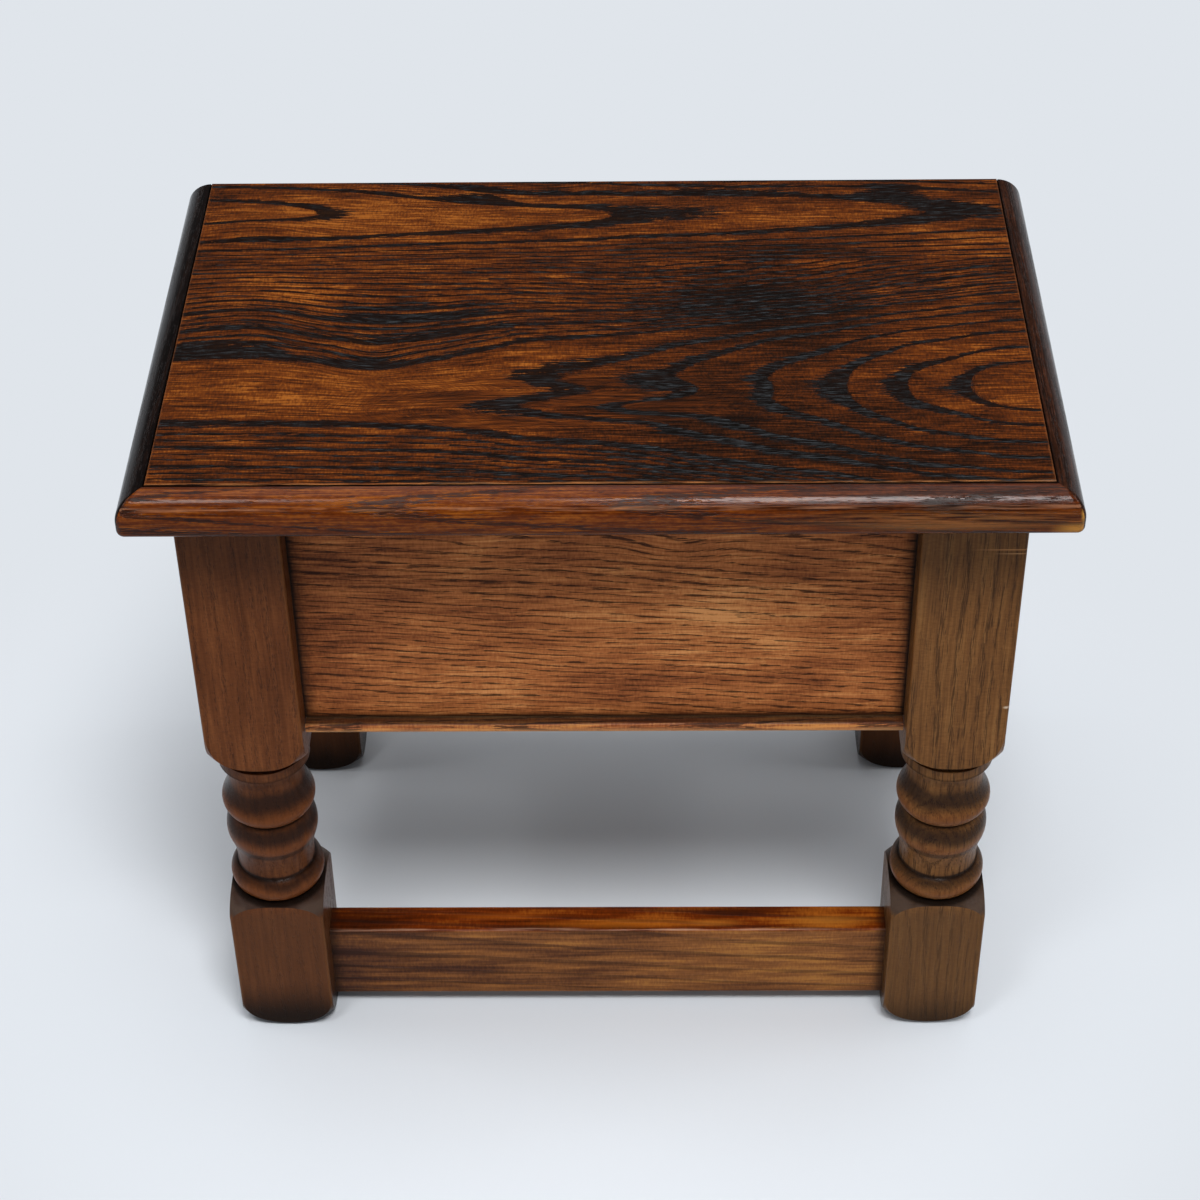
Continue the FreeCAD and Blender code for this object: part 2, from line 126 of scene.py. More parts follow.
# finished oak: a stained brown ground, dark open pores in dashes along the grain, dirt and rubbed arrises
def oakMaterial(name, **changes):
    look = {**oakBasics, **changes}
    look["sizes"] = {**oakBasics["sizes"], **changes.get("sizes", {})}
    material, tree = newTree(name)
    place = addNode(tree, "TexCoord", take="Object")
    point = addNode(tree, "VectorMath", {0: place, "Scale": 1 / mm}, operation="SCALE")
    plain = addNode(tree, "SeparateXYZ", {0: point}).node.outputs

    # eddies push the lines aside round a spot
    bent = point
    for eddy in look["eddies"]:
        near = spotMask(tree, point, eddy["at"], eddy["reach"])
        bent = addNode(tree, "VectorMath", {0: near, 1: eddy["push"], 2: bent}, operation="MULTIPLY_ADD")
    split = addNode(tree, "SeparateXYZ", {0: bent}).node.outputs
    along, across, through = (split[axis] for axis in look["run"])
    grain = addNode(tree, "CombineXYZ", {0: along, 1: across, 2: through})

    # noises stretched along the grain, of which the first bends the rest
    noise = {}
    for layer, size in look["sizes"].items():
        scaled = addNode(tree, "VectorMath", {0: grain, 1: [1 / s for s in size]}, operation="MULTIPLY")
        noise[layer] = addNode(tree, "TexNoise", {"Vector": scaled, "Scale": 1.0, "Detail": 3.0})
        if layer == "drift":
            stray = noise[layer].node.outputs["Color"]
            grain = addNode(tree, "VectorMath", {0: stray, 1: (0, look["wander"], look["wander"]), 2: grain},
                            operation="MULTIPLY_ADD")
    along, across, through = addNode(tree, "SeparateXYZ", {0: grain}).node.outputs
    uneven = addNode(tree, "Math", {0: noise["cloud"], 1: 0.5}, operation="SUBTRACT")

    # distance from the pith in mm. On a flat-sawn plank its depth changes along the plank
    pith = look["pith"]
    off = addNode(tree, "Math", {0: across, 1: pith["across"] + look["wander"] / 2}, operation="SUBTRACT")
    if "depths" in pith:
        first, last = pith["depths"][0][0], pith["depths"][-1][0]
        deepest = max(depth for at, depth in pith["depths"])
        share = addNode(tree, "MapRange", {"Value": along, "From Min": first, "From Max": last})
        stops = [((at - first) / (last - first), depth / deepest) for at, depth in pith["depths"]]
        deep = addNode(tree, "ValToRGB", {0: share}, stops=stops, blend="CARDINAL")
        deep = addNode(tree, "Math", {0: deep, 1: deepest}, operation="MULTIPLY")
    else:
        deep = addNode(tree, "Math", {0: through, 1: pith["through"]}, operation="SUBTRACT")
    flat = addNode(tree, "CombineXYZ", {0: off, 1: deep})
    radius = addNode(tree, "VectorMath", {0: flat}, take="Value", operation="LENGTH")
    radius = addNode(tree, "Math", {0: along, 1: look["taper"], 2: radius}, operation="MULTIPLY_ADD")
    radius = addNode(tree, "Math", {0: noise["streak"], 1: look["ragged"], 2: radius},
                     operation="MULTIPLY_ADD")

    # ring count from the pith, and the share of each ring that is open-pored
    if "rings" in look:
        rings = look["rings"]
        reach = rings[-1][0]
        share = addNode(tree, "Math", {0: radius, 1: 1 / reach}, operation="MULTIPLY")
        stops = [(0.0, 0.0)] + [(at / reach, (i + 1) / len(rings)) for i, (at, width) in enumerate(rings)]
        count = addNode(tree, "ValToRGB", {0: share}, stops=stops)
        count = addNode(tree, "Math", {0: count, 1: len(rings)}, operation="MULTIPLY")
        stops = [(0.0, 0.01)]
        for (at, width), (following, _) in zip(rings, rings[1:]):
            stops.append((at / reach, width / (following - at)))
        width = addNode(tree, "ValToRGB", {0: share}, stops=stops, blend="CONSTANT")
    else:
        count = addNode(tree, "Math", {0: radius, 1: 1 / look["spacing"]}, operation="MULTIPLY")
        ringNumber = addNode(tree, "Math", {0: count}, operation="FLOOR")
        width = addNode(tree, "TexWhiteNoise", {"W": ringNumber}, noise_dimensions="1D")
        narrow, wide = (times * look["early"] for times in look["earlySpread"])
        width = addNode(tree, "MapRange", {"Value": width, "To Min": narrow, "To Max": wide})
    for swell in look["swells"]:
        near = spotMask(tree, point, swell["at"], swell["reach"])
        near = addNode(tree, "Math", {0: near, 1: swell["amount"], 2: 1.0}, operation="MULTIPLY_ADD")
        width = addNode(tree, "Math", {0: width, 1: near}, operation="MULTIPLY")
    turn = addNode(tree, "Math", {0: count}, operation="FRACT")
    turn = addNode(tree, "Math", {0: turn, 1: width}, operation="DIVIDE")
    early = addNode(tree, "MapRange", {"Value": turn, "From Min": look["earlyFade"][0],
                                       "From Max": look["earlyFade"][1], "To Min": 1.0, "To Max": 0.0},
                    interpolation_type="SMOOTHSTEP")

    # ground tone from streaks, clouds and flecks, lighter or darker in spots
    fine = addNode(tree, "Math", {0: noise["fleck"], 1: look["fleckiness"], 2: noise["streak"]},
                   operation="MULTIPLY_ADD")
    fine = addNode(tree, "Math", {0: fine, 1: look["fleckiness"] / 2}, operation="SUBTRACT")
    tone = addNode(tree, "Math", {0: uneven, 1: look["cloudiness"], 2: fine}, operation="MULTIPLY_ADD")
    tone = addNode(tree, "MapRange", {"Value": tone, "From Min": look["toneSpread"][0],
                                      "From Max": look["toneSpread"][1]}, clamp=False)
    for spot in look["spots"]:
        near = spotMask(tree, point, spot["at"], spot["reach"])
        tone = addNode(tree, "Math", {0: near, 1: spot["tone"], 2: tone}, operation="MULTIPLY_ADD")
    stops = [(i / (len(look["ground"]) - 1), shade) for i, shade in enumerate(look["ground"])]
    colour = addNode(tree, "ValToRGB", {0: tone}, stops=stops)

    # dark pores. In the dark parts of a plank, some of the wide ones get a painted grey sheen
    pores = addNode(tree, "Math", {0: early, 1: look["pull"], 2: noise["pore"]}, operation="MULTIPLY_ADD")
    gloom = addNode(tree, "Math", {0: 0.5, 1: tone}, operation="SUBTRACT")
    pores = addNode(tree, "Math", {0: gloom, 1: look["poresInDark"], 2: pores}, operation="MULTIPLY_ADD")
    pores = addNode(tree, "MapRange", {"Value": pores, "From Min": look["pores"][0],
                                       "From Max": look["pores"][1]}, interpolation_type="SMOOTHSTEP")
    grainColour = linear(look["grainColour"])
    if look["speck"]:
        paintedSheen = addNode(tree, "MapRange", {"Value": noise["pore"], "From Min": look["speckPores"][0],
                                            "From Max": look["speckPores"][1]})
        paintedSheen = addNode(tree, "Math", {0: paintedSheen, 1: early}, operation="MULTIPLY")
        murk = addNode(tree, "MapRange", {"Value": gloom, "From Min": look["speckGloom"][0],
                                          "From Max": look["speckGloom"][1], "To Min": look["speckLeast"]})
        paintedSheen = addNode(tree, "Math", {0: paintedSheen, 1: murk}, operation="MULTIPLY")
        grainColour = addNode(tree, "Mix", {0: paintedSheen, colourA: grainColour, colourB: linear(look["speck"])},
                              take=colourOut, data_type="RGBA")
    dark = addNode(tree, "Math", {0: pores, 1: look["grainDepth"]}, operation="MULTIPLY")
    colour = addNode(tree, "Mix", {0: dark, colourA: colour, colourB: grainColour},
                     take=colourOut, data_type="RGBA")

    # wood that was never stained, for zones with no colour of their own
    stops = [(i / (len(look["bare"]) - 1), shade) for i, shade in enumerate(look["bare"])]
    bare = addNode(tree, "ValToRGB", {0: tone}, stops=stops)
    bare = addNode(tree, "Mix", {0: dark, colourA: bare, colourB: linear(look["bareGrain"])},
                   take=colourOut, data_type="RGBA")

    # zones along one axis, all over, in patches or only on faces turned up: dirt in corners, rubbed edges,
    # bare wood inside
    upward = addNode(tree, "TexCoord", take="Normal")
    upward = addNode(tree, "SeparateXYZ", {0: upward}, take="Z")
    patches = addNode(tree, "MapRange", {"Value": noise["streak"], "From Min": look["patches"][0],
                                         "From Max": look["patches"][1]})
    for zone in look["zones"]:
        value = addNode(tree, "Math", {0: plain["XYZ".index(zone["axis"])], 1: zone.get("centre", 0.0)},
                        operation="SUBTRACT")
        if zone.get("mirror"):
            value = addNode(tree, "Math", {0: value}, operation="ABSOLUTE")
        value = addNode(tree, "Math", {0: uneven, 1: zone.get("stray", 0.0), 2: value},
                        operation="MULTIPLY_ADD")
        mask = addNode(tree, "MapRange", {"Value": value, "From Min": zone["rise"][0],
                                          "From Max": zone["rise"][1]}, interpolation_type="SMOOTHSTEP")
        if "fall" in zone:
            end = addNode(tree, "MapRange", {"Value": value, "From Min": zone["fall"][1],
                                             "From Max": zone["fall"][0]}, interpolation_type="SMOOTHSTEP")
            mask = addNode(tree, "Math", {0: mask, 1: end}, operation="MULTIPLY")
        if "facing" in zone:
            turned = addNode(tree, "MapRange", {"Value": upward, "From Min": zone["facing"][0],
                                                "From Max": zone["facing"][1]},
                             interpolation_type="SMOOTHSTEP")
            mask = addNode(tree, "Math", {0: mask, 1: turned}, operation="MULTIPLY")
        if zone.get("patchy"):
            mask = addNode(tree, "Math", {0: mask, 1: patches}, operation="MULTIPLY")
        mask = addNode(tree, "Math", {0: mask, 1: zone["amount"]}, operation="MULTIPLY")
        shade = linear(zone["colour"]) if "colour" in zone else bare
        colour = addNode(tree, "Mix", {0: mask, colourA: colour, colourB: shade},
                         take=colourOut, data_type="RGBA")

    # single scratches, nicks and stains
    for mark in look["marks"]:
        near = spotMask(tree, point, mark["at"], mark["reach"])
        if mark.get("patchy"):
            near = addNode(tree, "Math", {0: near, 1: patches}, operation="MULTIPLY")
        near = addNode(tree, "Math", {0: near, 1: mark["amount"]}, operation="MULTIPLY")
        colour = addNode(tree, "Mix", {0: near, colourA: colour, colourB: linear(mark["colour"])},
                         take=colourOut, data_type="RGBA")

    # rubbed upright arrises of a square leg
    arris = look["arris"]
    if arris:
        sides = []
        for axis, centre in enumerate(arris["centre"]):
            side = addNode(tree, "Math", {0: plain[axis], 1: centre}, operation="SUBTRACT")
            sides.append(addNode(tree, "Math", {0: side}, operation="ABSOLUTE"))
        corner = addNode(tree, "Math", {0: sides[0], 1: sides[1]}, operation="MINIMUM")
        corner = addNode(tree, "Math", {0: uneven, 1: arris["stray"], 2: corner}, operation="MULTIPLY_ADD")
        corner = addNode(tree, "MapRange", {"Value": corner, "From Min": arris["from"],
                                            "From Max": arris["to"]})
        corner = addNode(tree, "Math", {0: corner, 1: arris["amount"]}, operation="MULTIPLY")
        colour = addNode(tree, "Mix", {0: corner, colourA: colour, colourB: linear(arris["colour"])},
                         take=colourOut, data_type="RGBA")

    # pores are duller than the polish between them, and sunk into it
    rough = addNode(tree, "MapRange", {"Value": pores, "To Min": look["roughness"][0],
                                       "To Max": look["roughness"][1]})
    height = addNode(tree, "Math", {0: noise["streak"], 1: look["streakRelief"]}, operation="MULTIPLY")
    height = addNode(tree, "Math", {0: height, 1: pores}, operation="SUBTRACT")
    normal = addNode(tree, "Bump", {"Strength": look["bumpStrength"], "Distance": look["bump"] * mm,
                                    "Height": height})
    shader = addNode(tree, "BsdfPrincipled", {"Base Color": colour, "Roughness": rough, "Normal": normal,
                                              "Specular IOR Level": look["specular"]})
    addNode(tree, "OutputMaterial", {"Surface": shader})
    return material


# places on the oak pieces are in mm, in the frame's own axes
# lid planks: flat-sawn oak, stained and waxed, the grain nearly black
plankLow, plankHigh = corners("lid_front_plank")
plankFront, lidUnder = plankLow[1:]
plankEnd, lidTop = plankHigh[0], plankHigh[2]
plank = {
    "taper": 0, "pull": 0.4, "poresInDark": 0.09, "cloudiness": 0.5, "toneSpread": (0.2, 0.8),
    "sizes": {"streak": (18, 0.9, 0.9), "pore": (8, 0.7, 0.7), "cloud": (45, 9, 9)},
    "ground": ("120703", "2a1306", "451f09", "62300d", "8c501c"),
    # speck: the painted grey sheen in the wide pores of the dark grain
    "grainColour": "070504", "grainDepth": 0.95, "speck": "363a3d",
    "roughness": (0.4, 0.62), "specular": 0.04, "bump": 0.3,
}
bareUnder = {"axis": "Z", "rise": (lidUnder + 1.0, lidUnder + 0.4), "amount": 1.0}
rubbedEnds = {"axis": "X", "mirror": True, "rise": (plankEnd - 1.2, plankEnd), "stray": 1.6,
              "colour": "7a4520", "amount": 0.5}
# painted shade: the faces below the top of a plank, the step down into the quirk, nearly black
shadedStep = {"axis": "Z", "rise": (lidTop - 0.3, lidTop - 0.6), "colour": "0b0604", "amount": 0.95}
# depths: how far off the pith lies, from left to right. Rings: distance from it, and open-pored width
frontPlank = {
    **plank,
    "pith": {"across": -55, "depths": [(-216, 82), (-80, 80.5), (-45, 77), (28, 70), (78, 58.5), (120, 47),
                                       (150, 33), (182, 20), (216, 2)]},
    "rings": [(20, 3.2), (33, 3.0), (47, 3.0), (58.5, 2.8), (70, 2.8), (77, 3.0), (87, 2.6), (90.8, 1.2),
              (93.2, 1.0), (95.8, 2.8), (99.2, 0.9), (101.6, 1.0), (104.3, 2.8), (108, 1.0), (110.8, 2.0),
              (114.2, 1.0), (117.8, 1.5), (121.4, 1.3), (125.1, 1.4), (128.9, 1.2), (132.8, 1.2),
              (135.6, 1.1), (138.8, 1.1), (146, 1)],
    "eddies": [
        {"at": (-108, -18, lidTop), "reach": (72, 66, 60), "push": (0, 10, 0)},
        {"at": (-115, -34, lidTop), "reach": (32, 24, 60), "push": (0, 6, 0)},
        {"at": (-185, 12, lidTop), "reach": (50, 50, 60), "push": (0, -6, 0)},
        {"at": (-10, -57, lidTop), "reach": (130, 14, 60), "push": (-26, 0, 0)},
        {"at": (-45, -74, lidTop), "reach": (110, 17, 60), "push": (32, 0, 0)},
        {"at": (15, -72, lidTop), "reach": (60, 14, 60), "push": (18, 0, 0)},
        {"at": (80, 30, lidTop), "reach": (230, 55, 60), "push": (0, 12, 0)},
    ],
    "swells": [
        {"at": (-95, 5, lidTop), "reach": (60, 24, 60), "amount": 1.5},
        {"at": (-195, -22, lidTop), "reach": (45, 16, 60), "amount": 2.2},
        {"at": (-115, -36, lidTop), "reach": (32, 14, 60), "amount": 1.8},
        {"at": (20, -50, lidTop), "reach": (34, 18, 60), "amount": 1.6},
        {"at": (140, -56, lidTop), "reach": (120, 30, 60), "amount": 1.9},
        {"at": (-150, -108, lidTop), "reach": (150, 46, 60), "amount": -0.4},
        {"at": (90, -105, lidTop), "reach": (130, 40, 60), "amount": 0.5},
    ],
    "wander": 5, "ragged": 2.4,
    "spots": [
        {"at": (-155, -58, lidTop), "reach": (90, 36, 50), "tone": 0.3},
        {"at": (-150, 32, lidTop), "reach": (110, 30, 50), "tone": 0.22},
        {"at": (-60, -40, lidTop), "reach": (60, 26, 50), "tone": 0.15},
        {"at": (80, 24, lidTop), "reach": (85, 52, 50), "tone": -0.42},
        {"at": (140, -110, lidTop), "reach": (210, 60, 50), "tone": -0.28},
        {"at": (50, -75, lidTop), "reach": (90, 60, 50), "tone": -0.25},
        {"at": (95, -12, lidTop), "reach": (110, 60, 50), "tone": -0.25},
        {"at": (175, -30, lidTop), "reach": (60, 40, 50), "tone": 0.12},
        {"at": (-60, -125, lidTop), "reach": (200, 30, 50), "tone": -0.1},
        {"at": (205, -78, lidTop), "reach": (60, 30, 50), "tone": 0.2},
    ],
    "zones": [
        # a pale line along the front arris: painted highlight, with rubbed wear
        {"axis": "Y", "rise": (plankFront + 1.1, plankFront + 0.1), "stray": 3, "patchy": True,
         "colour": "a0683a", "amount": 0.6},
        rubbedEnds,
        shadedStep,
        bareUnder,
    ],
}
backPlank = {
    **plank,
    "pith": {"across": 107, "depths": [(-232, 9), (-130, 20.4), (0, 28.8), (72, 32.6), (216, 39)]},
    "rings": [(17.8, 3.0), (30, 3.2), (38, 2.6), (43.4, 1.3), (47.3, 1.2), (51, 1.3), (54.4, 1.1),
              (57.7, 1.1), (60.7, 1), (64, 0.9), (80, 1)],
    "eddies": [
        {"at": (-190, 95, lidTop), "reach": (70, 20, 60), "push": (0, -8, 0)},
        {"at": (-40, 121, lidTop), "reach": (110, 26, 60), "push": (0, 9, 0)},
        {"at": (60, 130, lidTop), "reach": (75, 24, 60), "push": (0, 4, 0)},
    ],
    "swells": [
        {"at": (-68, 122, lidTop), "reach": (30, 20, 60), "amount": 2.4},
        {"at": (64, 129, lidTop), "reach": (55, 14, 60), "amount": 1.6},
        {"at": (158, 130, lidTop), "reach": (30, 16, 60), "amount": 2.4},
    ],
    "wander": 5, "ragged": 1.4,
    "spots": [
        {"at": (90, 58, lidTop), "reach": (120, 30, 50), "tone": -0.35},
        {"at": (-120, 105, lidTop), "reach": (150, 40, 50), "tone": 0.3},
        {"at": (60, 100, lidTop), "reach": (150, 26, 50), "tone": 0.15},
        {"at": (190, 75, lidTop), "reach": (60, 26, 50), "tone": 0.2},
    ],
    "zones": [
        rubbedEnds,
        # painted shade: a black line at the ends, in the quirk against the side mouldings
        {"axis": "X", "mirror": True, "rise": (plankEnd - 0.4, plankEnd - 0.1), "colour": "0b0604",
         "amount": 0.95},
        bareUnder,
    ],
}

# lid mouldings: the same oak, french polished, redder and glossier than the planks
moulding = {
    "ground": ("2b0f03", "582505", "844711"), "grainColour": "160a05", "grainDepth": 0.8,
    "sizes": {"streak": (26, 0.9, 0.9), "pore": (7, 0.6, 0.6), "cloud": (26, 3, 3), "fleck": (3, 1.5, 1.5)},
    "spacing": 5, "pores": (0.59, 0.7), "wander": 4, "cloudiness": 0.4, "toneSpread": (0.2, 0.8),
    "bump": 0.2,
}
mouldingBreak = lidTop - 6.4             # where the slope turns into the nose
frontMoulding = {
    **moulding, "pith": {"across": -60, "through": 330},
    "spots": [
        {"at": (-90, -140, 398), "reach": (120, 30, 20), "tone": 0.12},
        {"at": (160, -140, 398), "reach": (150, 30, 20), "tone": -0.45},
    ],
    "zones": [
        # a pale line along the break: painted highlight of the gloss there, with rubbed wear
        {"axis": "Z", "centre": mouldingBreak, "mirror": True, "rise": (1.2, 0.1), "stray": 1.5,
         "patchy": True, "colour": "a87a5c", "amount": 0.35},
        # darker next to the quirk, and painted shade, nearly black, in the quirk itself
        {"axis": "Y", "rise": (plankFront - 4.0, plankFront - 1.5), "stray": 3,
         "colour": "3c1c12", "amount": 0.5},
        {"axis": "Y", "rise": (plankFront - 1.5, plankFront - 0.8), "colour": "0c0705", "amount": 0.95},
        # painted shade: darker where the nose turns under
        {"axis": "Z", "rise": (lidUnder + 6, lidUnder + 1), "stray": 4, "colour": "2c150a", "amount": 0.5},
    ],
    "marks": [
        # a faint painted grey sheen on the right of the slope
        {"at": (170, -140, 400), "reach": (120, 9, 6), "patchy": True, "colour": "5c463c", "amount": 0.15},
        {"at": (170, -146, 392), "reach": (130, 8, 6), "patchy": True, "colour": "865428", "amount": 0.65},
        {"at": (165, -146, 388), "reach": (75, 6, 4), "colour": "8a5a2c", "amount": 0.5},
        {"at": (226, -145, 386), "reach": (16, 8, 5), "colour": "b87f35", "amount": 0.8},
        {"at": (228.5, -144.5, 393), "reach": (2.2, 4, 6), "colour": "c8923c", "amount": 0.7},
    ],
    "roughness": (0.16, 0.34), "specular": 0.13,
}
# side mouldings: a near-black ground, painted shade, the left darker than the right, and painted shade in
# the quirk by the planks
shadedLeftMoulding = {
    **moulding, "run": (1, 0, 2), "pith": {"across": 0, "through": 300},
    "ground": ("050302", "0a0504", "180c07"),
    "zones": [{"axis": "X", "mirror": True, "rise": (plankEnd + 1.6, plankEnd + 0.5),
               "colour": "060403", "amount": 0.9}],
    "roughness": (0.14, 0.26), "specular": 0.05,
}
shadedRightMoulding = {**shadedLeftMoulding, "ground": ("100703", "281309", "46281a")}

# boards of the box: rift-sawn oak with a dull wax, bare inside, their rims dark from handling
boardLow, boardHigh = corners("front_board")
boardFront, boardFoot = boardLow[1:]
boardInside, rim = boardHigh[1:]
backInside = corners("back_board")[0][1]
sideInside = corners("right_board")[0][0]
bottomUnder = corners("bottom_board")[0][2]
postInner, postFront = corners("front_right_leg")[0][:2]
darkRim = {"axis": "Z", "rise": (rim - 0.8, rim - 0.2), "colour": "3c2110", "amount": 0.6}
frontBoard = {
    "run": (0, 2, 1), "pith": {"across": 366, "through": -66}, "taper": -0.075, "spacing": 3.6, "wander": 12,
    "early": 0.42, "ground": ("502813", "804724", "a66435", "ca8a52"), "grainColour": "24150f",
    "sizes": {"pore": (11, 0.6, 0.6), "cloud": (40, 12, 12)}, "pores": (0.64, 0.71),
    "cloudiness": 0.7, "toneSpread": (0.08, 0.92),
    "eddies": [{"at": (38, boardFront, 338), "reach": (34, 60, 16), "push": (0, 0, 5)}],
    "spots": [
        {"at": (55, boardFront, 290), "reach": (100, 60, 50), "tone": 0.3},
        {"at": (-60, boardFront, 250), "reach": (90, 60, 40), "tone": 0.15},
        {"at": (-150, boardFront, 310), "reach": (60, 60, 110), "tone": -0.25},
        {"at": (10, boardFront, 245), "reach": (40, 60, 30), "tone": -0.15},
        {"at": (150, boardFront, 372), "reach": (70, 60, 50), "tone": -0.25},
    ],
    "zones": [
        # darker towards the posts, and at them a painted shadow line standing for a gap
        {"axis": "X", "mirror": True, "rise": (postInner - 8, postInner), "stray": 3,
         "colour": "1c1410", "amount": 0.7},
        {"axis": "X", "mirror": True, "rise": (postInner - 2.5, postInner - 0.4), "stray": 2,
         "colour": "120c09", "amount": 0.85},
        {"axis": "Z", "rise": (boardFoot + 3, boardFoot + 0.3), "stray": 2,
         "colour": "1c120d", "amount": 0.85},
        {"axis": "Y", "rise": (boardInside - 2.5, boardInside - 1.1), "amount": 1.0},
        darkRim,
    ],
    "roughness": (0.45, 0.6), "specular": 0.06,
}
backBoard = {
    **frontBoard, "pith": {"across": 250, "through": 60}, "spots": [], "eddies": [],
    "zones": [
        {"axis": "X", "mirror": True, "rise": (postInner - 3.5, postInner), "stray": 2,
         "colour": "2a1c15", "amount": 0.7},
        {"axis": "Y", "rise": (backInside + 2.0, backInside + 0.7), "amount": 1.0},
        darkRim,
    ],
}
sideBoard = {
    **frontBoard, "run": (1, 2, 0), "pith": {"across": 250, "through": 60}, "spots": [], "eddies": [],
    "zones": [
        {"axis": "X", "mirror": True, "rise": (sideInside + 2.0, sideInside + 0.8), "amount": 1.0},
        darkRim,
    ],
}
bottomBoard = {
    "pith": {"across": 60, "through": 150}, "ground": ("70391c", "9a5a32", "c28044"),
    "grainColour": "3a2216", "bare": ("543a20", "735434", "906f48"),
    "zones": [
        {"axis": "Z", "rise": (bottomUnder + 4.2, bottomUnder + 1.4), "stray": 3,
         "colour": "c08a56", "amount": 0.6},
        {"axis": "Y", "rise": (boardFront - 2.5, boardFront - 0.3), "amount": 1.0},
        {"axis": "Z", "rise": (boardFoot - 1, boardFoot), "stray": 1, "colour": "1c120d", "amount": 0.8},
    ],
    "roughness": (0.35, 0.5),
}

# stretcher: straight oak, its top worn through the stain and polished by feet
stretcherFront = corners("front_stretcher")[0][1]
stretcherTop = corners("front_stretcher")[1][2]
stretcher = {
    "bare": ("2c0e02", "702b05", "b4641c"), "bareGrain": "1c0a03",
    "run": (0, 2, 1), "pith": {"across": 90, "through": -40}, "taper": -0.05, "spacing": 8, "early": 0.3,
    "ground": ("3c1c0c", "623818", "865226", "aa7032"), "grainColour": "24140b", "grainDepth": 0.46,
    "sizes": {"streak": (50, 2.4, 2.4), "pore": (40, 2.0, 2.0), "cloud": (50, 9, 9)},
    "cloudiness": 0.9, "toneSpread": (0.1, 0.9), "pull": 0.3, "pores": (0.56, 0.8),
    "spots": [
        {"at": (-140, -100, 35), "reach": (90, 40, 60), "tone": -0.32},
        {"at": (100, -100, 40), "reach": (120, 40, 45), "tone": 0.26},
    ],
    "zones": [
        {"axis": "Z", "rise": (stretcherTop - 1.4, stretcherTop - 0.2), "amount": 0.95},
        # a pale line along the front top arris: painted highlight, with rubbed wear
        {"axis": "Y", "rise": (stretcherFront + 2.0, stretcherFront + 0.4), "stray": 3, "patchy": True,
         "facing": (0.4, 0.8), "colour": "b08468", "amount": 0.8},
        {"axis": "X", "mirror": True, "rise": (postInner - 7, postInner), "stray": 3,
         "colour": "1f130d", "amount": 0.7},
    ],
    "marks": [
        {"at": (-140, -92, stretcherTop), "reach": (44, 16, 3), "colour": "260d03", "amount": 0.7},
        {"at": (75, -86, stretcherTop), "reach": (60, 6, 3), "colour": "2a1004", "amount": 0.6},
        {"at": (10, -96, stretcherTop), "reach": (70, 5, 3), "colour": "b8681c", "amount": 0.5},
        {"at": (-60, -90, stretcherTop), "reach": (40, 4, 3), "colour": "a85412", "amount": 0.5},
        {"at": (125, -94, stretcherTop), "reach": (36, 6, 3), "colour": "c07a2c", "amount": 0.55},
        {"at": (60, -95, stretcherTop), "reach": (24, 4, 3), "colour": "c07428", "amount": 0.5},
    ],
    "roughness": (0.3, 0.5), "specular": 0.12,
}

# legs: square oak stock with a turned middle. The front right one comes from another board than the rest
legStock = {
    "common": {
        "wood": {
            "ground": ("44220f", "60351a", "7a4826"), "grainColour": "26140c", "grainDepth": 0.5,
            "pith": {"across": -120, "through": -60}, "spacing": 5, "pull": 0.1,
            "sizes": {"pore": (4, 0.5, 0.5), "streak": (40, 2, 2)},
        },
        "blockStain": "53331e",          # on the lower block
        "turnedDarkening": 0.25,
        "footDarkening": (40, 6),             # height where it starts and where it is darkest
        "marks": [],
    },
    "front_right_leg": {
        "wood": {
            "ground": ("4e321b", "6e4826", "8c6236"), "grainColour": "241810", "grainDepth": 0.62,
            "pith": {"across": 150, "through": -190}, "spacing": 2.8, "pull": 0.14, "pores": (0.6, 0.68),
            "sizes": {"pore": (14, 0.45, 0.45), "streak": (60, 1.4, 1.4)},
        },
        "blockStain": "573c23",
        "turnedDarkening": 0.05,
        "footDarkening": (34, -14),
        "marks": [                       # two scratches and a nick
            {"at": (202, postFront, 350), "reach": (24, 3, 0.7), "colour": "a87446", "amount": 0.8},
            {"at": (204, postFront, 347.5), "reach": (14, 3, 0.5), "colour": "b98a5c", "amount": 0.7},
            {"at": (207.5, postFront, 245.5), "reach": (2.6, 3, 1.3), "colour": "d8c4aa", "amount": 0.9},
        ],
    },
}
# heights on the turned part: rubbed warm by hands and feet, dark on the tops of the beads from wax and
# painted shade, and black lines of painted shade in the quirks
turnedRub = {"colour": "7c4420", "amount": 0.4, "levels": [(156, 165), (135.5, 141), (102, 109)]}
# wax and painted shade: dark bands where the beads turn up
turnedWaxAndShade = {"colour": "1c1310", "amount": 0.8, "levels": [(168, 178), (144, 152), (111, 115)]}
bandEdge = (-4, 3)                       # where the edge of such a band begins and is full
# painted shade: black lines in the grooves of the turned part and under the blocks
quirkShade = {
    "colour": "0c0705", "core": 0.3,     # share of the reach that is fully dark
    "levels": [(198.8, 1.8, 0.85), (190.6, 2.4, 0.5), (154.2, 1.8, 0.85), (133.6, 3.2, 0.55),
               (115, 2.0, 0.8), (98.4, 1.2, 0.85)],   # height, reach and amount
}


